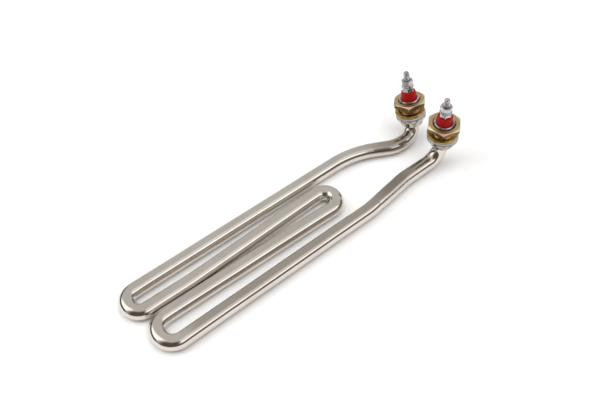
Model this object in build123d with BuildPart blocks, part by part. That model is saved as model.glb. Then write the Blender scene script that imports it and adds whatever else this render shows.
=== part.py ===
"""Tubular heating element: one bent metal tube with two threaded screw-in ends.

The long legs lie flat on the floor and both ends rise to a brazed, flanged fitting.
Lengths are millimetres. +Z is up and +X runs along the legs towards the fittings.
The origin is on the floor, under the middle of the whole element.
"""

import os
from math import cos, radians, tan

from build123d import *

# Tube and what is sealed in it
tube_radius = 5.0
tube_wall = 0.8
fill_gap = 0.05  # radial gap between one sealed layer and the next
coil_radius = 2.3

# Legs, measured on the tube's centre line from the right leg's line and its return bend
right_bend_end = 0.0  # where the legs run into the right-hand return bend
left_bend_end = -5.0  # where they run into the left-hand return bend
middle_bend_end = 122.9  # where the two inner legs run into the middle return bend
left_leg_at_bend = 47.4
left_leg_at_jog = 44.3
left_inner_at_bend = 30.6
left_inner_at_kink = 29.5
left_inner_at_middle = 31.9
right_inner_at_bend = 19.9
right_inner_at_middle = 16.1
kink_along = 25.0
kink_radius = 120.0
bend_flat = 0.3  # short straight left between the two quarter turns of a return bend

# Jogs that bring the two ends closer together, and the bends up to the fittings.
# A jog's places along the leg are measured back from its foot, under the fitting.
left_foot_along = 208.1
left_foot_across = 32.2
left_jog_end_back = 16.0
left_jog_end_across = 27.7
left_jog_start_back = 44.2
left_jog_radii = (61.0, 20.0)
left_riser_radius = 8.3
left_riser = 7.8
left_lean_forward = 1.4
left_lean_out = 12.5
right_foot_along = 206.1
right_foot_across = 4.1
right_jog_end_back = 31.8
right_jog_end_across = 4.5
right_jog_start_back = 65.2
right_jog_radii = (50.0, 30.0)
right_riser_radius = 12.5
right_riser = 12.7
right_lean_forward = 0.2
right_lean_out = 1.8

# Flanged fitting, brazed on the tube's end, from its lower edge upwards
skirt_radius = 7.6
skirt_height = 4.7
flange_radius = 10.1
flange_height = 2.0
thread_radius = 7.0  # M14
thread_length = 12.8
edge_chamfer = 0.4
thread_chamfer = 0.6
braze_gap = 0.03
seat_depth = 4.0  # counterbore for the insulating plug
seat_radius = 5.45

# Sealing ring and brass washer on the flange
gasket_inset = 0.1  # the gasket's rim stands this far inside the flange's rim
gasket_height = 1.5
gasket_gap = 0.1
washer_inset = 0.2  # the washer's rim stands this far inside the flange's rim
washer_height = 2.2
washer_gap = 0.5
washer_chamfer = 0.5
washer_shift = 0.4  # the loose washer lies off centre by this much
washer_shift_direction = (-0.83, 0.56)

# Brass lock nut
lock_nut_flats = 20.0
lock_nut_height = 3.4
lock_nut_gap = 0.1
nut_crown = 30.0  # angle of the turned crown that takes a nut's corners off
left_nut_below_end = 1.3
right_nut_below_end = 1.4
left_nut_turn = 46.6
right_nut_turn = 42.6

# Insulating plug
plug_gap = 0.05
plug_top_radius = 4.7
plug_above_end = 5.2
plug_rounding = 0.5

# Terminal hardware on the pin
pin_depth = 14.0  # pin below the tube's mouth
shank_radius = 1.6  # pin up to its stud, through the plug and the small nuts
stud_radius = 2.0  # M4
stud_above_nuts = 0.2  # where the stud starts
pin_above_nuts = 6.1
pin_tip_rounding = 1.2
small_gap = 0.05
small_nut_flats = 7.0
small_nut_height = 3.2
small_washer_radius = 4.0
small_washer_height = 0.9
spring_washer_radius = 3.7
spring_washer_height = 1.1
spring_washer_slot = 0.9
lower_nut_turn = 45.0
left_upper_nut_turn = 58.0
right_upper_nut_turn = 15.0

gasket_radius = flange_radius - gasket_inset
washer_radius = flange_radius - washer_inset

# Heights on a fitting's own axis, from its lower edge
flange_top = skirt_height + flange_height
thread_end = flange_top + thread_length
tube_mouth = thread_end - seat_depth
gasket_top = flange_top + gasket_height
washer_top = gasket_top + washer_height
plug_top = thread_end + plug_above_end
lower_nut_top = plug_top + small_nut_height
small_washer_top = lower_nut_top + small_washer_height
spring_washer_top = small_washer_top + spring_washer_height
upper_nut_top = spring_washer_top + small_nut_height
pin_top = upper_nut_top + pin_above_nuts


def leaning_axis(forward, out):
    """Unit vector up a fitting that leans on along the legs and out to the left."""
    return Vector(0, 0, 1).rotate(Axis.Y, forward).rotate(Axis.X, -out)


left_axis = leaning_axis(left_lean_forward, left_lean_out)
right_axis = leaning_axis(right_lean_forward, -right_lean_out)
left_foot = Vector(left_foot_along, left_foot_across, tube_radius)
right_foot = Vector(right_foot_along, right_foot_across, tube_radius)
left_end = left_foot + left_axis * left_riser
right_end = right_foot + right_axis * right_riser


def half(one, other):
    """Centre-line radius of a return bend between legs at these two places across."""
    return abs(one - other) / 2


left_bend_radius = half(left_leg_at_bend, left_inner_at_bend)
middle_bend_radius = half(left_inner_at_middle, right_inner_at_middle)
right_bend_radius = half(right_inner_at_bend, 0)


def tube_route(from_right, to_left):
    """Centre line of the tube between heights on the right and left fitting's axis."""
    left_turn = left_bend_end - left_bend_radius
    middle_turn = middle_bend_end + middle_bend_radius
    right_turn = right_bend_end - right_bend_radius
    floor_points = [
        (right_foot_along, right_foot_across),
        (right_foot_along - right_jog_end_back, right_jog_end_across),
        (right_foot_along - right_jog_start_back, 0),
        (right_turn, 0),
        (right_turn, right_inner_at_bend),
        (middle_turn, right_inner_at_middle),
        (middle_turn, left_inner_at_middle),
        (kink_along, left_inner_at_kink),
        (left_turn, left_inner_at_bend),
        (left_turn, left_leg_at_bend),
        (left_foot_along - left_jog_start_back, left_leg_at_jog),
        (left_foot_along - left_jog_end_back, left_jog_end_across),
        (left_foot_along, left_foot_across),
    ]
    radii = [
        right_riser_radius,
        right_jog_radii[1],
        right_jog_radii[0],
        right_bend_radius - bend_flat,
        right_bend_radius - bend_flat,
        middle_bend_radius - bend_flat,
        middle_bend_radius - bend_flat,
        kink_radius,
        left_bend_radius - bend_flat,
        left_bend_radius - bend_flat,
        left_jog_radii[0],
        left_jog_radii[1],
        left_riser_radius,
    ]
    first = right_end + right_axis * from_right
    last = left_end + left_axis * to_left
    corners = [Vector(x, y, tube_radius) for x, y in floor_points]
    with BuildLine() as route:
        FilletPolyline(first, *corners, last, radius=radii)
    return route.wires()[0]


def swept_round(route, outer_radius, inner_radius=0):
    """Round bar along the route, or a tube where it has an inner radius."""
    with BuildPart() as bar:
        with BuildSketch(Plane(origin=route @ 0, z_dir=route % 0)):
            Circle(outer_radius)
            if inner_radius:
                Circle(inner_radius, mode=Mode.SUBTRACT)
        sweep(path=route)
    return bar.part


def turned(profile):
    """Solid of revolution from (radius, height) corners."""
    with BuildPart() as body:
        with BuildSketch(Plane.XZ):
            with BuildLine():
                Polyline(*profile, close=True)
            make_face()
        revolve(axis=Axis.Z)
    return body.part


def ring(outer_radius, inner_radius, bottom, height, chamfer_size=0):
    """Flat ring with chamfered outer rims."""
    top = bottom + height
    return turned(
        [
            (inner_radius, bottom),
            (outer_radius - chamfer_size, bottom),
            (outer_radius, bottom + chamfer_size),
            (outer_radius, top - chamfer_size),
            (outer_radius - chamfer_size, top),
            (inner_radius, top),
        ]
        if chamfer_size
        else [
            (inner_radius, bottom),
            (outer_radius, bottom),
            (outer_radius, top),
            (inner_radius, top),
        ]
    )


def hexagon_nut(flats, bore_radius, bottom, height, turn):
    """Hexagon nut whose corners are taken off by a turned crown at both ends."""
    with BuildPart() as nut:
        with BuildSketch(Plane.XY.offset(bottom)):
            RegularPolygon(flats / 2, 6, major_radius=False, rotation=turn)
        extrude(amount=height)
        corner_radius = flats / 2 / cos(radians(30))
        drop = (corner_radius - flats / 2) * tan(radians(nut_crown))
        with BuildSketch(Plane.XZ):
            with BuildLine():
                Polyline(
                    (0, bottom),
                    (flats / 2, bottom),
                    (corner_radius, bottom + drop),
                    (corner_radius, bottom + height - drop),
                    (flats / 2, bottom + height),
                    (0, bottom + height),
                    close=True,
                )
            make_face()
        revolve(axis=Axis.Z, mode=Mode.INTERSECT)
        with Locations((0, 0, bottom)):
            Cylinder(
                bore_radius,
                height,
                align=(Align.CENTER, Align.CENTER, Align.MIN),
                mode=Mode.SUBTRACT,
            )
    return nut.part


def fitting():
    """Turned bush: skirt and flange below, threaded shank above, counterbored mouth."""
    bore_radius = tube_radius + braze_gap
    return turned(
        [
            (bore_radius, 0),
            (skirt_radius - edge_chamfer, 0),
            (skirt_radius, edge_chamfer),
            (skirt_radius, skirt_height),
            (flange_radius - edge_chamfer, skirt_height),
            (flange_radius, skirt_height + edge_chamfer),
            (flange_radius, flange_top - edge_chamfer),
            (flange_radius - edge_chamfer, flange_top),
            (thread_radius, flange_top),
            (thread_radius, thread_end - thread_chamfer),
            (thread_radius - thread_chamfer, thread_end),
            (seat_radius, thread_end),
            (seat_radius, tube_mouth),
            (bore_radius, tube_mouth),
        ]
    )


def loose_washer():
    """Brass washer, lying off centre on the gasket."""
    washer = ring(
        washer_radius,
        thread_radius + washer_gap,
        gasket_top,
        washer_height,
        washer_chamfer,
    )
    x, y = washer_shift_direction
    return Location((x * washer_shift, y * washer_shift, 0)) * washer


def insulator():
    """Tapered insulating plug, held in the fitting's counterbore."""
    with BuildPart() as plug:
        add(
            turned(
                [
                    (shank_radius + plug_gap, tube_mouth),
                    (seat_radius - plug_gap, tube_mouth),
                    (seat_radius - plug_gap, thread_end),
                    (plug_top_radius, plug_top),
                    (shank_radius + plug_gap, plug_top),
                ]
            )
        )
        rims = plug.faces().sort_by(Axis.Z)[-1].edges().sort_by(SortBy.RADIUS)
        fillet(rims[-1], plug_rounding)
    return plug.part


def terminal_pin():
    """Steel pin from inside the tube up to a rounded stud end."""
    pin_bottom = tube_mouth - pin_depth
    stud_bottom = upper_nut_top + stud_above_nuts
    with BuildPart() as pin:
        add(
            turned(
                [
                    (0, pin_bottom),
                    (shank_radius, pin_bottom),
                    (shank_radius, stud_bottom),
                    (stud_radius, stud_bottom),
                    (stud_radius, pin_top),
                    (0, pin_top),
                ]
            )
        )
        fillet(pin.faces().sort_by(Axis.Z)[-1].edges(), pin_tip_rounding)
    return pin.part


def spring_washer():
    """Split ring under the upper terminal nut."""
    with BuildPart() as washer:
        add(
            ring(
                spring_washer_radius,
                shank_radius + small_gap,
                small_washer_top,
                spring_washer_height,
            )
        )
        with Locations((spring_washer_radius, 0, small_washer_top)):
            Box(
                2 * spring_washer_radius,
                spring_washer_slot,
                spring_washer_height,
                align=(Align.CENTER, Align.CENTER, Align.MIN),
                mode=Mode.SUBTRACT,
            )
    return washer.part


def end_pieces(nut_below_end, nut_turn, upper_nut_turn):
    """Every piece of one screw-in end, on its own axis with the fitting's foot at zero."""
    lock_nut_bottom = thread_end - nut_below_end - lock_nut_height
    small_bore = shank_radius + small_gap
    return {
        "terminal_pin": terminal_pin(),
        "fitting": fitting(),
        "gasket": ring(
            gasket_radius, thread_radius + gasket_gap, flange_top, gasket_height
        ),
        "washer": loose_washer(),
        "lock_nut": hexagon_nut(
            lock_nut_flats,
            thread_radius + lock_nut_gap,
            lock_nut_bottom,
            lock_nut_height,
            nut_turn,
        ),
        "insulator": insulator(),
        "lower_nut": hexagon_nut(
            small_nut_flats, small_bore, plug_top, small_nut_height, lower_nut_turn
        ),
        "terminal_washer": ring(
            small_washer_radius, small_bore, lower_nut_top, small_washer_height
        ),
        "spring_washer": spring_washer(),
        "upper_nut": hexagon_nut(
            small_nut_flats,
            small_bore,
            spring_washer_top,
            small_nut_height,
            upper_nut_turn,
        ),
    }


def end_location(end, axis):
    """Place of a screw-in end whose foot and upward axis are given."""
    across = Vector(0, 1, 0).cross(axis)
    return Plane(origin=end, x_dir=across, z_dir=axis).location


pieces = {}

# The tube reaches up into both fittings, a braze gap below the insulating plugs
tube_top = tube_mouth - braze_gap
fill_radius = tube_radius - tube_wall - fill_gap
mouth_route = tube_route(tube_top, tube_top)
pieces["sheath_tube"] = swept_round(mouth_route, tube_radius, tube_radius - tube_wall)
pieces["insulation_core"] = swept_round(
    mouth_route, fill_radius, coil_radius + fill_gap
)

# The heating coil joins the two pins, low down in the straight part of each riser
coil_end = tube_mouth - pin_depth
pieces["heating_coil"] = swept_round(tube_route(coil_end, coil_end), coil_radius)

for name, piece in end_pieces(
    left_nut_below_end, left_nut_turn, left_upper_nut_turn
).items():
    pieces["left_" + name] = end_location(left_end, left_axis) * piece

for name, piece in end_pieces(
    right_nut_below_end, right_nut_turn, right_upper_nut_turn
).items():
    pieces["right_" + name] = end_location(right_end, right_axis) * piece

# The legs lie on the floor at height zero, so only the plan is centred
extent = Compound(list(pieces.values())).bounding_box()
origin = Vector(extent.center().X, extent.center().Y, 0)

os.makedirs("parts", exist_ok=True)
for name, piece in pieces.items():
    placed = Location(-origin) * piece
    placed.label = name
    export_step(placed, "parts/" + name + ".step")
    print(name, "volume", round(placed.volume, 1))
print("route length", round(mouth_route.length, 1))
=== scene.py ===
import bpy
import numpy as np
from mathutils import Matrix, Vector


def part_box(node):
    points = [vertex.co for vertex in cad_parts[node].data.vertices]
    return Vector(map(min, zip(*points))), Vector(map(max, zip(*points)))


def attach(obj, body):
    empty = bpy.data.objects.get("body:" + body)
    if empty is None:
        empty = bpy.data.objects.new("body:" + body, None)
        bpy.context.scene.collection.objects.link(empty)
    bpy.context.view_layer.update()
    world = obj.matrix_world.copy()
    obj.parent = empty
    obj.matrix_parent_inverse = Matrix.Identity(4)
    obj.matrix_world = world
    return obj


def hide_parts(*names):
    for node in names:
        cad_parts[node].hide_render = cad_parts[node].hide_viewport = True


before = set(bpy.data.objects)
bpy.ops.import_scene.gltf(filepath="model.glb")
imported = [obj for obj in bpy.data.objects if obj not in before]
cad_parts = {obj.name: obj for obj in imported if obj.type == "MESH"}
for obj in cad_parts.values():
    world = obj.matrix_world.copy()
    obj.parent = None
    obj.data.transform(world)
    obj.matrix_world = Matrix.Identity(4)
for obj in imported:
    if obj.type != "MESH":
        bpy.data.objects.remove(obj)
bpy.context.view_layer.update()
MM = 0.001

# ---------------------------------------------------------------- camera
# Looks down on the element from beside its return bends, with both
# screw-in ends furthest away.
camera_place = Vector((-0.166482, -0.259044, 0.401496))
camera_down = 0.888689
camera_heading = 0.980655
camera_roll = -0.105963
camera_lens = 47.06

ahead = Vector(
    (
        np.cos(camera_heading) * np.cos(camera_down),
        np.sin(camera_heading) * np.cos(camera_down),
        -np.sin(camera_down),
    )
)
level_right = Vector((np.sin(camera_heading), -np.cos(camera_heading), 0))
level_up = level_right.cross(ahead)
right = np.cos(camera_roll) * level_right + np.sin(camera_roll) * level_up
up = np.cos(camera_roll) * level_up - np.sin(camera_roll) * level_right
camera = bpy.data.objects.new("camera", bpy.data.cameras.new("camera"))
camera.data.lens = camera_lens
camera.data.sensor_width = 36
camera.data.clip_start = 0.01
camera.matrix_world = Matrix(
    [[right[i], up[i], -ahead[i], camera_place[i]] for i in range(3)] + [[0, 0, 0, 1]]
)
bpy.context.collection.objects.link(camera)
bpy.context.scene.camera = camera
bpy.context.scene.view_settings.view_transform = "Standard"

# ---------------------------------------------------------------- floor and light
# A white sweep under soft boxes: one large box in front on the right, one
# behind on the left, a grey ceiling, and a brown room below the boxes.
floor_half = 3.0
floor_white = (0.93, 0.93, 0.93, 1)


def shader_nodes(material_name):
    """A new node material, its node tree and its Principled shader."""
    made = bpy.data.materials.new(material_name)
    made.use_nodes = True
    tree = made.node_tree
    return made, tree, tree.nodes["Principled BSDF"]


floor_mesh = bpy.data.meshes.new("floor")
floor_mesh.from_pydata(
    [(x * floor_half, y * floor_half, 0) for x, y in ((-1, -1), (1, -1), (1, 1), (-1, 1))],
    [],
    [(0, 1, 2, 3)],
)
floor = bpy.data.objects.new("floor", floor_mesh)
bpy.context.collection.objects.link(floor)
floor_paint, _, floor_shader = shader_nodes("floor_paint")
floor_shader.inputs["Base Color"].default_value = floor_white
floor_shader.inputs["Roughness"].default_value = 0.85
floor_shader.inputs["Specular IOR Level"].default_value = 0.15
floor_mesh.materials.append(floor_paint)

# Each room patch: heading and height of its middle and its half widths, all
# in degrees, the softness of its rim, its colour and its strength.
room_patches = (
    (-146, 27, 40, 35, 12, (0.115, 0.09, 0.07), 1.0),
    (125, 5, 38, 17, 8, (0.05, 0.045, 0.05), 1.0),
    (-75, 12, 70, 10, 6, (0.115, 0.098, 0.078), 1.0),
    (-68, 50, 34, 22, 7, (0.95, 0.94, 0.95), 1.0),
    (-68, 37, 30, 5, 4, (1.95, 1.92, 1.95), 1.0),
    (136, 45, 24, 20, 5, (1.6, 1.57, 1.55), 1.0),
)
room_grey = (0.62, 0.62, 0.605, 1)

world = bpy.data.worlds.new("room")
world.use_nodes = True
bpy.context.scene.world = world
room = world.node_tree
room.nodes.clear()


def room_math(operation, *values):
    """One math node of the room, fed by sockets or plain numbers."""
    node = room.nodes.new("ShaderNodeMath")
    node.operation = operation
    for socket, value in zip(node.inputs, values):
        if isinstance(value, (int, float)):
            socket.default_value = value
        else:
            room.links.new(value, socket)
    return node.outputs[0]


direction = room.nodes.new("ShaderNodeTexCoord").outputs["Generated"]
split = room.nodes.new("ShaderNodeSeparateXYZ")
room.links.new(direction, split.inputs[0])
height = room_math("MULTIPLY", room_math("ARCSINE", split.outputs["Z"]), 180 / np.pi)
heading = room_math(
    "MULTIPLY", room_math("ARCTAN2", split.outputs["Y"], split.outputs["X"]), 180 / np.pi
)
glow = None
for middle, level, half_width, half_height, rim, colour, share in room_patches:
    turn = room_math("WRAP", room_math("SUBTRACT", heading, middle), 180, -180)
    turn = room_math("ABSOLUTE", turn)
    rise = room_math("ABSOLUTE", room_math("SUBTRACT", height, level))
    inside = []
    for distance, half in ((turn, half_width), (rise, half_height)):
        ramp = room.nodes.new("ShaderNodeMapRange")
        ramp.interpolation_type = "SMOOTHSTEP"
        ramp.inputs["From Min"].default_value = half + rim
        ramp.inputs["From Max"].default_value = half - rim
        room.links.new(distance, ramp.inputs["Value"])
        inside.append(ramp.outputs[0])
    cover = room_math("MULTIPLY", room_math("MULTIPLY", *inside), share)
    mix = room.nodes.new("ShaderNodeMix")
    mix.data_type = "RGBA"
    room.links.new(cover, mix.inputs["Factor"])
    mix.inputs[6].default_value = room_grey
    if glow:
        room.links.new(glow, mix.inputs[6])
    mix.inputs[7].default_value = (*colour, 1)
    glow = mix.outputs[2]
background = room.nodes.new("ShaderNodeBackground")
room.links.new(glow, background.inputs["Color"])
background.inputs["Strength"].default_value = 1.0
room.links.new(
    background.outputs[0], room.nodes.new("ShaderNodeOutputWorld").inputs["Surface"]
)

# Two large lamps over the floor light it and the matt pieces; no metal mirrors them.
for lamp_name, lamp_place, lamp_size, lamp_power in (
    ("lamp_over", (0.1, -0.2, 1.6), 1.6, 16.0),
    ("lamp_left", (-0.9, 0.7, 1.1), 1.0, 5.0),
):
    lamp_light = bpy.data.lights.new(lamp_name, "AREA")
    lamp_light.size = lamp_size
    lamp_light.energy = lamp_power
    lamp = bpy.data.objects.new(lamp_name, lamp_light)
    lamp.location = lamp_place
    lamp.rotation_euler = Vector(lamp_place).to_track_quat("Z", "Y").to_euler()
    lamp.visible_glossy = False
    bpy.context.collection.objects.link(lamp)

# ---------------------------------------------------------------- sheath tube
# One thin-walled metal tube, 10 mm across, bright nickel plated after it was
# # bent. The bender left the return bends a little flat, and the legs a little
# # wavy; one leg is worn rough near its jog. The upper inner side of the outer
# # legs carries a painted dark reflection, strongest on the outer right leg, its
# # worn stretch and the left jog.
tube_radius = 5.0
bore_radius = 4.2
mouth_height = 15.47
tube_corners = (
    (206.1, 4.1, 5),
    (174.3, 4.5, 5),
    (140.9, 0, 5),
    (-9.95, 0, 5),
    (-9.95, 19.9, 5),
    (130.8, 16.1, 5),
    (130.8, 31.9, 5),
    (25.0, 29.5, 5),
    (-13.4, 30.6, 5),
    (-13.4, 47.4, 5),
    (163.9, 44.3, 5),
    (192.1, 27.7, 5),
    (208.1, 32.2, 5),
)
tube_bends = (12.5, 30.0, 50.0, 9.65, 9.65, 7.6, 7.6, 120.0, 8.1, 8.1, 61.0, 20.0, 8.3)
left_axis = np.array((0.024432, 0.216375, 0.976005))
right_axis = np.array((0.003491, -0.031411, 0.999500))
left_foot = np.array((208.1, 32.2, 5.0)) + 7.8 * left_axis
right_foot = np.array((206.1, 4.1, 5.0)) + 12.7 * right_axis
tube_low_corner = np.array((-18.4, -5.0, 0.0))
shift = np.array(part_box("sheath_tube")[0]) / MM - tube_low_corner
ring_step = 0.9
around = 56
inner_rings = 240
skin_inset = 0.05
scratch_depth = 0.14
# The darker nickel tone of the painted dark reflection on the legs' upper sides.
dark_reflection_tone = (0.34, 0.29, 0.245, 1)
scuff_roughness = 0.16


def unit(vectors):
    """Vectors divided by their lengths."""
    return vectors / np.linalg.norm(vectors, axis=-1, keepdims=True)


def rounded_line(points, radii, arc_points=25):
    """Straight runs joined by tangent arcs: each arc leaves its run at radius times
    tan(half the turn) before the corner and turns about a centre on the bisector."""
    line = [points[:1]]
    for before, corner, after, radius in zip(points, points[1:], points[2:], radii):
        back, on = unit(before - corner), unit(after - corner)
        turn = np.pi - np.arccos(np.clip(back @ on, -1, 1))
        centre = corner + unit(back + on) * radius / np.cos(turn / 2)
        out = unit(corner + back * radius * np.tan(turn / 2) - centre)
        angle = np.linspace(0, turn, arc_points)[:, None]
        line.append(centre + radius * (np.cos(angle) * out - np.sin(angle) * back))
    line.append(points[-1:])
    return np.concatenate(line)


def evenly(line, step):
    """The line read again at equal steps along its length, and those distances."""
    along = np.r_[0, np.cumsum(np.linalg.norm(np.diff(line, axis=0), axis=1))]
    at = np.linspace(0, along[-1], int(round(along[-1] / step)) + 1)
    return np.stack([np.interp(at, along, line[:, i]) for i in range(3)], 1), at


def carried_side(tangents):
    """A side direction square to the line, carried from ring to ring with the least
    turn: what is left of the last one after its part along the line is taken off."""
    side = np.empty_like(tangents)
    last = np.array((0.0, 1.0, 0.0))
    for ring, tangent in enumerate(tangents):
        last = last - (last @ tangent) * tangent
        last /= np.linalg.norm(last)
        side[ring] = last
    return side


def grid_piece(piece_name, rows, loop_rows=False, smooth=True):
    """A mesh from a grid of points, row by column, whose columns close on themselves.
    Rows close too with loop_rows; otherwise a fan closes the first and last row."""
    count, columns = rows.shape[:2]
    points = rows.reshape(-1, 3)
    row, column = np.meshgrid(
        np.arange(count if loop_rows else count - 1), np.arange(columns), indexing="ij"
    )
    near, far = row * columns, (row + 1) % count * columns
    turned_on = (column + 1) % columns
    faces = np.stack(
        [near + column, near + turned_on, far + turned_on, far + column], -1
    ).reshape(-1, 4)
    if not loop_rows:
        middles = len(points) + np.arange(2).repeat(columns)
        ring = np.r_[0:columns, len(points) - columns : len(points)]
        on = np.roll(ring.reshape(2, -1), -1, 1).ravel()
        points = np.concatenate([points, rows[:1].mean(1), rows[-1:].mean(1)])
        fans = np.stack([on, ring, middles, middles], 1)
        fans[columns:, :2] = fans[columns:, 1::-1]
        faces = np.concatenate([faces, fans])
    spread = points - points.mean(0)
    corners = spread[faces]
    halves = np.cross(corners[:, 1], corners[:, 2]), np.cross(corners[:, 2], corners[:, 3])
    if (corners[:, 0] * (halves[0] + halves[1])).sum() < 0:
        faces = faces[:, ::-1]
    mesh = bpy.data.meshes.new(piece_name)
    mesh.from_pydata(
        (points + shift) * MM, [], [list(dict.fromkeys(face)) for face in faces.tolist()]
    )
    mesh.polygons.foreach_set("use_smooth", np.full(len(mesh.polygons), smooth))
    mesh.update()
    piece = bpy.data.objects.new(piece_name, mesh)
    bpy.context.collection.objects.link(piece)
    return piece


route = rounded_line(
    np.array(
        [
            right_foot + mouth_height * right_axis,
            *tube_corners,
            left_foot + mouth_height * left_axis,
        ]
    ),
    tube_bends,
)
centres, along = evenly(route, ring_step)
tangents = unit(np.gradient(centres, axis=0))
sides = carried_side(tangents)
ups = np.cross(sides, tangents)
x_at, y_at = centres[:, 0], centres[:, 1]
inner_legs = (y_at > 10) * (y_at < 38)
outer_right, outer_left = y_at < 12, y_at > 24


def until(place, edge, soft):
    """1 before the edge and 0 past it: 1 / (1 + e to the power of the distance past
    the edge over its softness)."""
    return 1 / (1 + np.exp(np.clip((place - edge) / soft, -40, 40)))


def near(place, middle, reach):
    """1 at the middle, falling off as e to the power of minus (distance / reach)
    squared."""
    return np.exp(-(((place - middle) / reach) ** 2))


on_floor = until(x_at, 190, 3)
in_return = until(x_at, -1, 2.5) + inner_legs * until(-x_at, -121, 2.5)
# A worn stretch of the outer right leg: flattened and rougher, and also painted darker on
# its upper side as a painted dark reflection.
worn_and_shaded = near(x_at, 166, 17) * outer_right
scratch = near(x_at, 147.5, 0.8) * outer_right
# The left jog is painted darker on its upper side, a painted dark reflection.
left_jog_dark_reflection = near(x_at, 188, 14) * outer_left
wide = 1 + 0.012 * in_return + 0.035 * worn_and_shaded
flat = 1 - 0.035 * in_return - 0.05 * worn_and_shaded
angle = np.linspace(0, 2 * np.pi, around, endpoint=False)
wave = (
    0.018 * np.sin(along[:, None] / 11.7 + 2 * angle)
    + 0.010 * np.sin(along[:, None] / 6.3 - angle + 1.7)
) * (0.3 + 0.7 * on_floor[:, None])
wave = wave + 0.02 * worn_and_shaded[:, None] * np.sin(along[:, None] / 2.3 + 3 * angle + 0.6)
wave = wave - scratch_depth * scratch[:, None]
reach = tube_radius + wave - skin_inset
across = wide[:, None] * reach * np.cos(angle)
rise = reach * np.sin(angle)
rise = np.where(rise > 0, rise * flat[:, None], rise)
outer = (
    centres[:, None]
    + across[..., None] * sides[:, None]
    + rise[..., None] * ups[:, None]
)
inner_at = np.linspace(len(centres) - 1, 0, inner_rings).round().astype(int)
inner = centres[inner_at][:, None] + bore_radius * (
    np.cos(angle)[:, None] * sides[inner_at][:, None]
    + np.sin(angle)[:, None] * ups[inner_at][:, None]
)
tube = grid_piece("sheath_tube_plated", np.concatenate([outer, inner]), loop_rows=True)

# Painted dark reflection: how much darker each point of the skin is painted on its upper
# # inner side, most on top of the outer right leg, on its worn stretch and on the left jog.
# # It is kept with the mesh, so that the metal can read it.
right_leg_dark_reflection = until(y_at, 12, 2.5) * on_floor * until(-x_at, -6, 3)
skin_turn = np.degrees(angle)
facing_in = np.clip((136 - skin_turn) / 26, 0, 1) * np.clip((skin_turn + 10) / 20, 0, 1)
dark_reflection_here = np.clip(0.55 * right_leg_dark_reflection + 0.5 * worn_and_shaded + 0.75 * left_jog_dark_reflection, 0, 1)
dark_reflection_skin = dark_reflection_here[:, None] * facing_in
worn_skin = np.repeat(np.clip(worn_and_shaded + scratch, 0, 1), around)
for share_name, skin_share in (("painted_dark_reflection", dark_reflection_skin.ravel()), ("wear", worn_skin)):
    share_values = np.concatenate([skin_share, np.zeros(inner[..., 0].size)])
    share = tube.data.attributes.new(share_name, "FLOAT", "POINT")
    share.data.foreach_set("value", share_values.astype(np.float32))


def plated_metal(
    material_name, colour, dark, roughness, bump, grain=900, spots=60, streak=1.0
):
    """Metal with clouded tone, uneven polish and a fine surface grain; its clouds are
    drawn out upwards into streaks, 1 / streak times as long as they are wide."""
    made, tree, shader = shader_nodes(material_name)
    stretch = tree.nodes.new("ShaderNodeMapping")
    stretch.inputs["Scale"].default_value = (1, 1, streak)
    tree.links.new(
        tree.nodes.new("ShaderNodeTexCoord").outputs["Object"], stretch.inputs["Vector"]
    )
    place = stretch.outputs["Vector"]

    def noise(scale, detail):
        """Noise on the object's own coordinates."""
        node = tree.nodes.new("ShaderNodeTexNoise")
        node.inputs["Scale"].default_value = scale
        node.inputs["Detail"].default_value = detail
        tree.links.new(place, node.inputs["Vector"])
        return node.outputs["Fac"]

    def ramp(source, stops):
        """A colour ramp with these stops of place and colour."""
        node = tree.nodes.new("ShaderNodeValToRGB")
        for element, (at, tone) in zip(node.color_ramp.elements, stops):
            element.position = at
            grey = not isinstance(tone, tuple)
            element.color = (tone, tone, tone, 1) if grey else (*tone, 1)
        tree.links.new(source, node.inputs["Fac"])
        return node.outputs["Color"]

    cloud = noise(spots, 4)
    tree.links.new(ramp(cloud, ((0.35, dark), (0.65, colour))), shader.inputs["Base Color"])
    tree.links.new(
        ramp(noise(spots * 2.3, 5), ((0.3, roughness[0]), (0.75, roughness[1]))),
        shader.inputs["Roughness"],
    )
    relief = tree.nodes.new("ShaderNodeBump")
    relief.inputs["Strength"].default_value = bump
    relief.inputs["Distance"].default_value = 0.0001
    tree.links.new(noise(grain, 3), relief.inputs["Height"])
    tree.links.new(relief.outputs["Normal"], shader.inputs["Normal"])
    shader.inputs["Metallic"].default_value = 1.0
    return made


nickel = plated_metal(
    "bright_nickel", (0.72, 0.675, 0.62), (0.67, 0.62, 0.565), (0.09, 0.15), 0.03
)
nickel_tree = nickel.node_tree
nickel_shader = nickel_tree.nodes["Principled BSDF"]
clean_tone = nickel_shader.inputs["Base Color"].links[0].from_socket
# The painted dark reflection share mixes the nickel towards its darker tone.
dark_reflection_node = nickel_tree.nodes.new("ShaderNodeAttribute")
dark_reflection_node.attribute_name = "painted_dark_reflection"
dark_reflection_mix = nickel_tree.nodes.new("ShaderNodeMix")
dark_reflection_mix.data_type = "RGBA"
dark_reflection_mix.inputs[7].default_value = dark_reflection_tone
nickel_tree.links.new(dark_reflection_node.outputs["Fac"], dark_reflection_mix.inputs["Factor"])
nickel_tree.links.new(clean_tone, dark_reflection_mix.inputs[6])
nickel_tree.links.new(dark_reflection_mix.outputs[2], nickel_shader.inputs["Base Color"])
clean_polish = nickel_shader.inputs["Roughness"].links[0].from_socket
wear_share = nickel_tree.nodes.new("ShaderNodeAttribute")
wear_share.attribute_name = "wear"
scuffed = nickel_tree.nodes.new("ShaderNodeMath")
scuffed.operation = "MULTIPLY_ADD"
scuffed.inputs[1].default_value = scuff_roughness
nickel_tree.links.new(wear_share.outputs["Fac"], scuffed.inputs[0])
nickel_tree.links.new(clean_polish, scuffed.inputs[2])
nickel_tree.links.new(scuffed.outputs[0], nickel_shader.inputs["Roughness"])
tube.data.materials.append(nickel)
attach(tube, "root")
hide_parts("sheath_tube")

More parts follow.
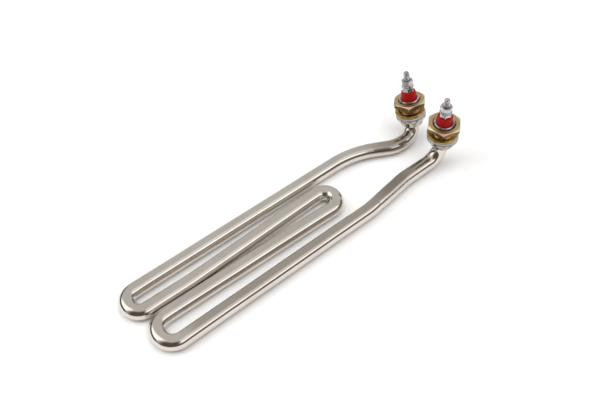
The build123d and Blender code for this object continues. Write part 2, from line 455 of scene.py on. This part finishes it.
# ---------------------------------------------------------------- what is sealed in the tube
# A resistance coil runs the whole way inside, and white powder packed round
# it keeps it clear of the sheath. Both stay as the frame has them.
powder, powder_tree, powder_shader = shader_nodes("packed_powder")
powder_cloud = powder_tree.nodes.new("ShaderNodeTexNoise")
powder_cloud.inputs["Scale"].default_value = 700
powder_place = powder_tree.nodes.new("ShaderNodeTexCoord").outputs["Object"]
powder_tree.links.new(powder_place, powder_cloud.inputs["Vector"])
powder_tone = powder_tree.nodes.new("ShaderNodeValToRGB")
powder_tone.color_ramp.elements[0].color = (0.78, 0.77, 0.73, 1)
powder_tone.color_ramp.elements[1].color = (0.92, 0.91, 0.88, 1)
powder_tree.links.new(powder_cloud.outputs["Fac"], powder_tone.inputs["Fac"])
powder_tree.links.new(powder_tone.outputs["Color"], powder_shader.inputs["Base Color"])
powder_shader.inputs["Roughness"].default_value = 0.95
drawn_wire = plated_metal(
    "drawn_wire", (0.46, 0.44, 0.42), (0.34, 0.32, 0.30), (0.35, 0.5), 0.3
)
for node_name, finish in (("insulation_core", powder), ("heating_coil", drawn_wire)):
    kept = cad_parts[node_name]
    kept.data.materials.clear()
    kept.data.materials.append(finish)

# ---------------------------------------------------------------- screw-in fittings
# Each end is a turned steel bush brazed on the tube: a skirt, a flange and a
# threaded shank with a plain rim at its mouth. It is nickel plated.
skirt_radius, skirt_top = 7.6, 4.7
flange_radius, flange_top = 10.1, 6.7
thread_radius, thread_root, thread_pitch = 7.0, 6.42, 1.25
shank_top = 19.5
seat_radius, seat_bottom = 5.45, 15.5
fitting_bore = 5.03
thread_runout, thread_stop = 0.3, 1.6
rim_start, rim_chamfer = 1.3, 0.5
rim_radius, rim_top_radius = thread_radius - 0.15, thread_radius - 0.6


def seat_frame(foot, axis):
    """Origin and three directions of a screw-in end: its foot, then back-and-across
    directions square to its axis, then the axis."""
    first = unit(np.cross((0.0, 1.0, 0.0), axis))
    return foot, first, np.cross(axis, first), axis


ends = {
    "left": seat_frame(left_foot, left_axis),
    "right": seat_frame(right_foot, right_axis),
}


def placed(local, seat):
    """Points given as across, across and along an end's axis, in the floor's frame."""
    foot, first, second, axis = seat
    return foot + local[..., :1] * first + local[..., 1:2] * second + local[..., 2:] * axis


def eased(profile, size):
    """A profile of (radius, height) corners with each corner cut into a small arc,
    a quadratic curve from one edge to the next that stays within size of the corner."""
    corners = np.array(profile, float)
    before, after = np.roll(corners, 1, 0) - corners, np.roll(corners, -1, 0) - corners
    reach_in = np.minimum(size, np.linalg.norm(before, axis=1) * 0.45)[:, None]
    reach_on = np.minimum(size, np.linalg.norm(after, axis=1) * 0.45)[:, None]
    start, end = corners + unit(before) * reach_in, corners + unit(after) * reach_on
    t = np.linspace(0, 1, 4)[None, :, None]
    curve = (1 - t) ** 2 * start[:, None] + 2 * t * (1 - t) * corners[:, None]
    return (curve + t**2 * end[:, None]).reshape(-1, 2)


def turned_rows(profile, columns=96):
    """A profile turned about the axis: radius times cosine and sine, and its height."""
    angle = np.linspace(0, 2 * np.pi, columns, endpoint=False)
    radius, height = profile[:, :1], profile[:, 1:]
    return np.stack(
        [radius * np.cos(angle), radius * np.sin(angle), height + 0 * angle], -1
    )


def screw_rows(bottom, top, crest, root, pitch, columns=96, step=0.06):
    """A thread's flank: the radius falls from crest to root and back once in each
    pitch of height, less the share of a pitch that the angle has turned."""
    height = np.arange(bottom, top, step)[:, None]
    angle = np.linspace(0, 2 * np.pi, columns, endpoint=False)[None]
    phase = (height / pitch - angle / (2 * np.pi)) % 1
    depth = np.clip(np.abs(phase - 0.5) * 2.4 - 0.12, 0, 1)
    fade = np.clip((height - bottom) / pitch, 0, 1) * np.clip((top - height) / pitch, 0, 1)
    radius = crest - (crest - root) * (1 - (1 - depth) * fade)
    return np.stack(
        [radius * np.cos(angle), radius * np.sin(angle), height + 0 * angle], -1
    )


fitting_low = eased(
    [
        (fitting_bore, 0),
        (skirt_radius, 0),
        (skirt_radius, skirt_top),
        (flange_radius, skirt_top),
        (flange_radius, flange_top),
        (thread_root, flange_top),
    ],
    0.35,
)[2:-2]
fitting_high = eased(
    [
        (thread_root, shank_top - thread_stop),
        (rim_radius, shank_top - rim_start),
        (rim_radius, shank_top - rim_chamfer),
        (rim_top_radius, shank_top),
        (seat_radius, shank_top),
        (seat_radius, seat_bottom),
        (fitting_bore, seat_bottom),
    ],
    0.18,
)[2:-2]
fitting_thread = screw_rows(
    flange_top + thread_runout,
    shank_top - thread_stop,
    thread_radius,
    thread_root,
    thread_pitch,
)
fitting_rows = np.concatenate(
    [turned_rows(fitting_low), fitting_thread, turned_rows(fitting_high)]
)
thread_from, thread_to = len(fitting_low), len(fitting_low) + len(fitting_thread) - 1


def banded(piece, finish, bands, columns):
    """Gives another material to the faces of a grid piece between pairs of rows."""
    faces = piece.data.polygons
    chosen = np.zeros(len(faces), dtype=np.int32)
    faces.foreach_get("material_index", chosen)
    for from_row, to_row in bands:
        chosen[from_row * columns : to_row * columns] = len(piece.data.materials)
    piece.data.materials.append(finish)
    faces.foreach_set("material_index", chosen)


# The fitting's tone runs from dark to light in upright streaks, a painted reflection of the
# dark room and the bright floor.
streaked_reflection_steel = plated_metal(
    "streaked_reflection_steel",
    (0.64, 0.62, 0.58),
    (0.28, 0.25, 0.22),
    (0.14, 0.24),
    0.05,
    900,
    300,
    0.12,
)
# The thread is painted dark brass: a painted reflection of the brass washer and nut, and
# painted shade under the nut.
thread_reflection_paint = plated_metal(
    "painted_reflection_thread", (0.62, 0.43, 0.25), (0.34, 0.21, 0.10), (0.18, 0.30), 0.05
)
for side, seat in ends.items():
    fitting = grid_piece(side + "_fitting_plated", placed(fitting_rows, seat), True)
    fitting.data.materials.append(streaked_reflection_steel)
    banded(fitting, thread_reflection_paint, [(thread_from, thread_to)], fitting_rows.shape[1])
    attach(fitting, "root")
    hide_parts(side + "_fitting")

# ---------------------------------------------------------------- sealing rings
# A pale ring of sealing sheet lies on each flange, squeezed a little wider
# at its mid height.
gasket_radius, gasket_bore, gasket_top = 10.0, 7.1, 8.2
gasket_profile = eased(
    [
        (gasket_bore, flange_top),
        (gasket_radius - 0.15, flange_top),
        (gasket_radius, (flange_top + gasket_top) / 2),
        (gasket_radius - 0.15, gasket_top),
        (gasket_bore, gasket_top),
    ],
    0.4,
)


def soft_sheet(material_name, colour, dark, roughness, grain):
    """Matt moulded material with a slightly clouded tone and a fine pebbled surface."""
    made, tree, shader = shader_nodes(material_name)
    place = tree.nodes.new("ShaderNodeTexCoord").outputs["Object"]
    cloud, pebble = (tree.nodes.new("ShaderNodeTexNoise") for _ in range(2))
    cloud.inputs["Scale"].default_value = 240
    cloud.inputs["Detail"].default_value = 4
    pebble.inputs["Scale"].default_value = grain
    tree.links.new(place, cloud.inputs["Vector"])
    tree.links.new(place, pebble.inputs["Vector"])
    tone = tree.nodes.new("ShaderNodeValToRGB")
    tone.color_ramp.elements[0].position = 0.35
    tone.color_ramp.elements[0].color = (*dark, 1)
    tone.color_ramp.elements[1].position = 0.7
    tone.color_ramp.elements[1].color = (*colour, 1)
    tree.links.new(cloud.outputs["Fac"], tone.inputs["Fac"])
    tree.links.new(tone.outputs["Color"], shader.inputs["Base Color"])
    relief = tree.nodes.new("ShaderNodeBump")
    relief.inputs["Strength"].default_value = 0.25
    relief.inputs["Distance"].default_value = 0.0001
    tree.links.new(pebble.outputs["Fac"], relief.inputs["Height"])
    tree.links.new(relief.outputs["Normal"], shader.inputs["Normal"])
    shader.inputs["Roughness"].default_value = roughness
    return made


sealing_sheet = soft_sheet(
    "sealing_sheet", (0.56, 0.53, 0.58), (0.47, 0.44, 0.50), 0.45, 2600
)
for side, seat in ends.items():
    gasket = grid_piece(
        side + "_gasket_ring", placed(turned_rows(gasket_profile), seat), True
    )
    gasket.data.materials.append(sealing_sheet)
    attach(gasket, "root")
    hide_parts(side + "_gasket")

# ---------------------------------------------------------------- brass washers
# A thick pressed brass washer lies loose on each sealing ring, a little off
# centre, darkened by handling.
washer_radius, washer_bore, washer_top = 9.9, 7.5, 10.4
washer_chamfer = 0.5
washer_slip = np.array((-0.83, 0.56, 0.0)) * 0.4
washer_profile = eased(
    [
        (washer_bore, gasket_top),
        (washer_radius - washer_chamfer, gasket_top),
        (washer_radius, gasket_top + washer_chamfer),
        (washer_radius, washer_top - washer_chamfer),
        (washer_radius - washer_chamfer, washer_top),
        (washer_bore, washer_top),
    ],
    0.2,
)
dull_brass = plated_metal(
    "dull_brass", (0.50, 0.36, 0.115), (0.30, 0.21, 0.06), (0.24, 0.38), 0.12, 900, 160
)
for side, seat in ends.items():
    washer = grid_piece(
        side + "_washer_brass",
        placed(turned_rows(washer_profile) + washer_slip, seat),
        True,
    )
    washer.data.materials.append(dull_brass)
    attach(washer, "root")
    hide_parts(side + "_washer")

# ---------------------------------------------------------------- brass lock nuts
# A thin hexagon nut on each threaded shank, turned from brass bar, with a crown that takes
# the corners off.
# # Its flats are painted dark brass, a painted shade, and its crown pale brass, a painted
# highlight;
# # only its faces keep the plain brass.
lock_flats, lock_height, lock_bore = 20.0, 3.4, 7.1
lock_bottoms = {"left": 14.8, "right": 14.7}
lock_turns = {"left": 46.6, "right": 42.6}
crown_slope = np.tan(np.radians(30))
face_inset = 0.25


def nut_rows(flats, bore, bottom, height, turn, columns=144, sink=0.4, ease=0.12):
    """A hexagon nut. The side stands flats / 2 / cos(angle from the flat's middle) from
    the axis, and a cone of the crown's slope ends it above and below."""
    from_corner = np.linspace(0, 2 * np.pi, columns, endpoint=False)
    off_flat = from_corner % (np.pi / 3) - np.pi / 6
    angle = from_corner + np.radians(turn)
    side = flats / 2 / np.cos(off_flat)
    corner = flats / 2 / np.cos(np.pi / 6)
    side = np.minimum(side, corner - ease)
    drop = np.maximum(side - flats / 2, 0) * crown_slope
    face = flats / 2 - face_inset
    top, edge = bottom + height, face_inset * crown_slope
    one = np.ones(columns)
    radius = [bore, bore + sink, face, side, side, face, bore + sink, bore]
    level = [
        bottom + sink,
        bottom,
        bottom,
        bottom + drop + edge,
        top - drop - edge,
        top,
        top,
        top - sink,
    ]
    radius = np.array([value * one for value in radius])
    level = np.array([value * one for value in level])
    return np.stack([radius * np.cos(angle), radius * np.sin(angle), level], -1)


def crisp(piece, width, segments=2):
    """Small rounded edges where faces meet at more than 20 degrees."""
    bevel = piece.modifiers.new("edges", "BEVEL")
    bevel.width = width * MM
    bevel.segments = segments
    bevel.limit_method = "ANGLE"
    bevel.angle_limit = np.radians(20)
    bevel.harden_normals = True


bar_brass = plated_metal(
    "bar_brass", (0.66, 0.50, 0.29), (0.56, 0.41, 0.22), (0.30, 0.40), 0.04, 900, 90
)
# Painted shade: the nut's flats get a dark brass. Painted highlight: its crown gets a pale
# brass.
painted_shade_brass = plated_metal(
    "painted_shade_brass", (0.24, 0.145, 0.06), (0.13, 0.075, 0.03), (0.26, 0.36), 0.05, 900, 160
)
painted_highlight_brass = plated_metal(
    "painted_highlight_brass", (0.92, 0.78, 0.54), (0.80, 0.64, 0.40), (0.22, 0.30), 0.04, 900, 90
)
nut_columns = 144
side_row = 3
for side, seat in ends.items():
    lock_nut = grid_piece(
        side + "_lock_nut_brass",
        placed(
            nut_rows(
                lock_flats, lock_bore, lock_bottoms[side], lock_height, lock_turns[side]
            ),
            seat,
        ),
        True,
    )
    lock_nut.data.materials.append(bar_brass)
    banded(lock_nut, painted_shade_brass, [(side_row, side_row + 1)], nut_columns)
    crowns = [(side_row - 1, side_row), (side_row + 1, side_row + 2)]
    banded(lock_nut, painted_highlight_brass, crowns, nut_columns)
    lock_nut.data.set_sharp_from_angle(angle=np.radians(20))
    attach(lock_nut, "root")
    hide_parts(side + "_lock_nut")

# ---------------------------------------------------------------- insulating plugs
# A tapered plug of red silicone sits in the mouth of each fitting and holds
# the terminal pin in its middle.
plug_low_radius, plug_high_radius, plug_top = 5.4, 4.7, 24.7
plug_bore = 1.65
plug_profile = eased(
    [
        (plug_bore, seat_bottom),
        (plug_low_radius, seat_bottom),
        (plug_low_radius, shank_top),
        (plug_high_radius, plug_top),
        (plug_bore, plug_top),
    ],
    0.6,
)
red_silicone = soft_sheet(
    "red_silicone", (0.43, 0.003, 0.005), (0.33, 0.002, 0.004), 0.50, 1400
)
red_silicone.node_tree.nodes["Principled BSDF"].inputs[
    "Specular IOR Level"
].default_value = 0.2
for side, seat in ends.items():
    plug = grid_piece(
        side + "_insulator_silicone", placed(turned_rows(plug_profile), seat), True
    )
    plug.data.materials.append(red_silicone)
    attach(plug, "root")
    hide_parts(side + "_insulator")

# ---------------------------------------------------------------- terminal pins
# A zinc-plated steel pin comes up through each plug. Its free end is an M4
# stud with a rolled thread and a rounded tip.
pin_bottom, pin_shank_radius = 1.5, 1.6
stud_bottom, stud_radius, stud_root, stud_pitch, pin_top = 33.3, 2.0, 1.84, 0.7, 39.2
tip_rounding = 1.2
pin_rows = np.concatenate(
    [
        turned_rows(
            np.array(
                [
                    (0.01, pin_bottom),
                    (pin_shank_radius, pin_bottom),
                    (pin_shank_radius, stud_bottom),
                ]
            ),
            64,
        ),
        screw_rows(
            stud_bottom + 0.02,
            pin_top - tip_rounding,
            stud_radius,
            stud_root,
            stud_pitch,
            64,
            0.05,
        ),
        turned_rows(
            np.stack(
                [
                    stud_root * np.cos(np.linspace(0, np.pi / 2 - 0.02, 12)),
                    pin_top
                    - tip_rounding
                    + tip_rounding * np.sin(np.linspace(0, np.pi / 2, 12)),
                ],
                1,
            ),
            64,
        ),
    ]
)
bright_zinc = plated_metal(
    "bright_zinc", (0.66, 0.64, 0.65), (0.40, 0.38, 0.39), (0.10, 0.20), 0.05, 1200, 300
)
for side, seat in ends.items():
    pin = grid_piece(side + "_terminal_pin_zinc", placed(pin_rows, seat))
    pin.data.materials.append(bright_zinc)
    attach(pin, "root")
    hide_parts(side + "_terminal_pin")

# ---------------------------------------------------------------- terminal nuts and washers
# On each pin: a lower M4 nut, a flat washer, a split spring washer and an
# upper M4 nut, all zinc plated.
small_flats, small_bore = 7.0, 1.65
small_height = 3.2
lower_turn = 45.0
upper_turns = {"left": 58.0, "right": 15.0}
flat_washer_radius, flat_washer_bottom, flat_washer_top = 4.0, 27.9, 28.8
spring_radius, spring_top, spring_slot = 3.7, 29.9, 0.9
flat_washer_profile = eased(
    [
        (small_bore, flat_washer_bottom),
        (flat_washer_radius, flat_washer_bottom),
        (flat_washer_radius, flat_washer_top),
        (small_bore, flat_washer_top),
    ],
    0.2,
)


def split_ring_rows(inner, outer, bottom, top, slot, columns=90):
    """A square-section ring that stops short of a full turn by the slot's width; its
    section is carried round from one side of the slot to the other."""
    gap = slot / 2 / outer
    angle = np.linspace(gap, 2 * np.pi - gap, columns)[:, None]
    section = eased([(inner, bottom), (outer, bottom), (outer, top), (inner, top)], 0.15)
    radius, height = section[::-1, 0][None], section[::-1, 1][None]
    return np.stack(
        [radius * np.cos(angle), radius * np.sin(angle), height + 0 * angle], -1
    )


for side, seat in ends.items():
    stack = {
        "lower_nut": nut_rows(
            small_flats, small_bore, plug_top, small_height, lower_turn, 96, 0.3, 0.06
        ),
        "terminal_washer": turned_rows(flat_washer_profile, 72),
        "spring_washer": split_ring_rows(
            small_bore, spring_radius, flat_washer_top, spring_top, spring_slot
        ),
        "upper_nut": nut_rows(
            small_flats,
            small_bore,
            spring_top,
            small_height,
            upper_turns[side],
            96,
            0.3,
            0.06,
        ),
    }
    for part_name, rows in stack.items():
        small = grid_piece(
            side + "_" + part_name + "_zinc",
            placed(rows, seat),
            part_name != "spring_washer",
        )
        if "nut" in part_name:
            crisp(small, 0.06)
        small.data.materials.append(bright_zinc)
        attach(small, "root")
        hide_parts(side + "_" + part_name)
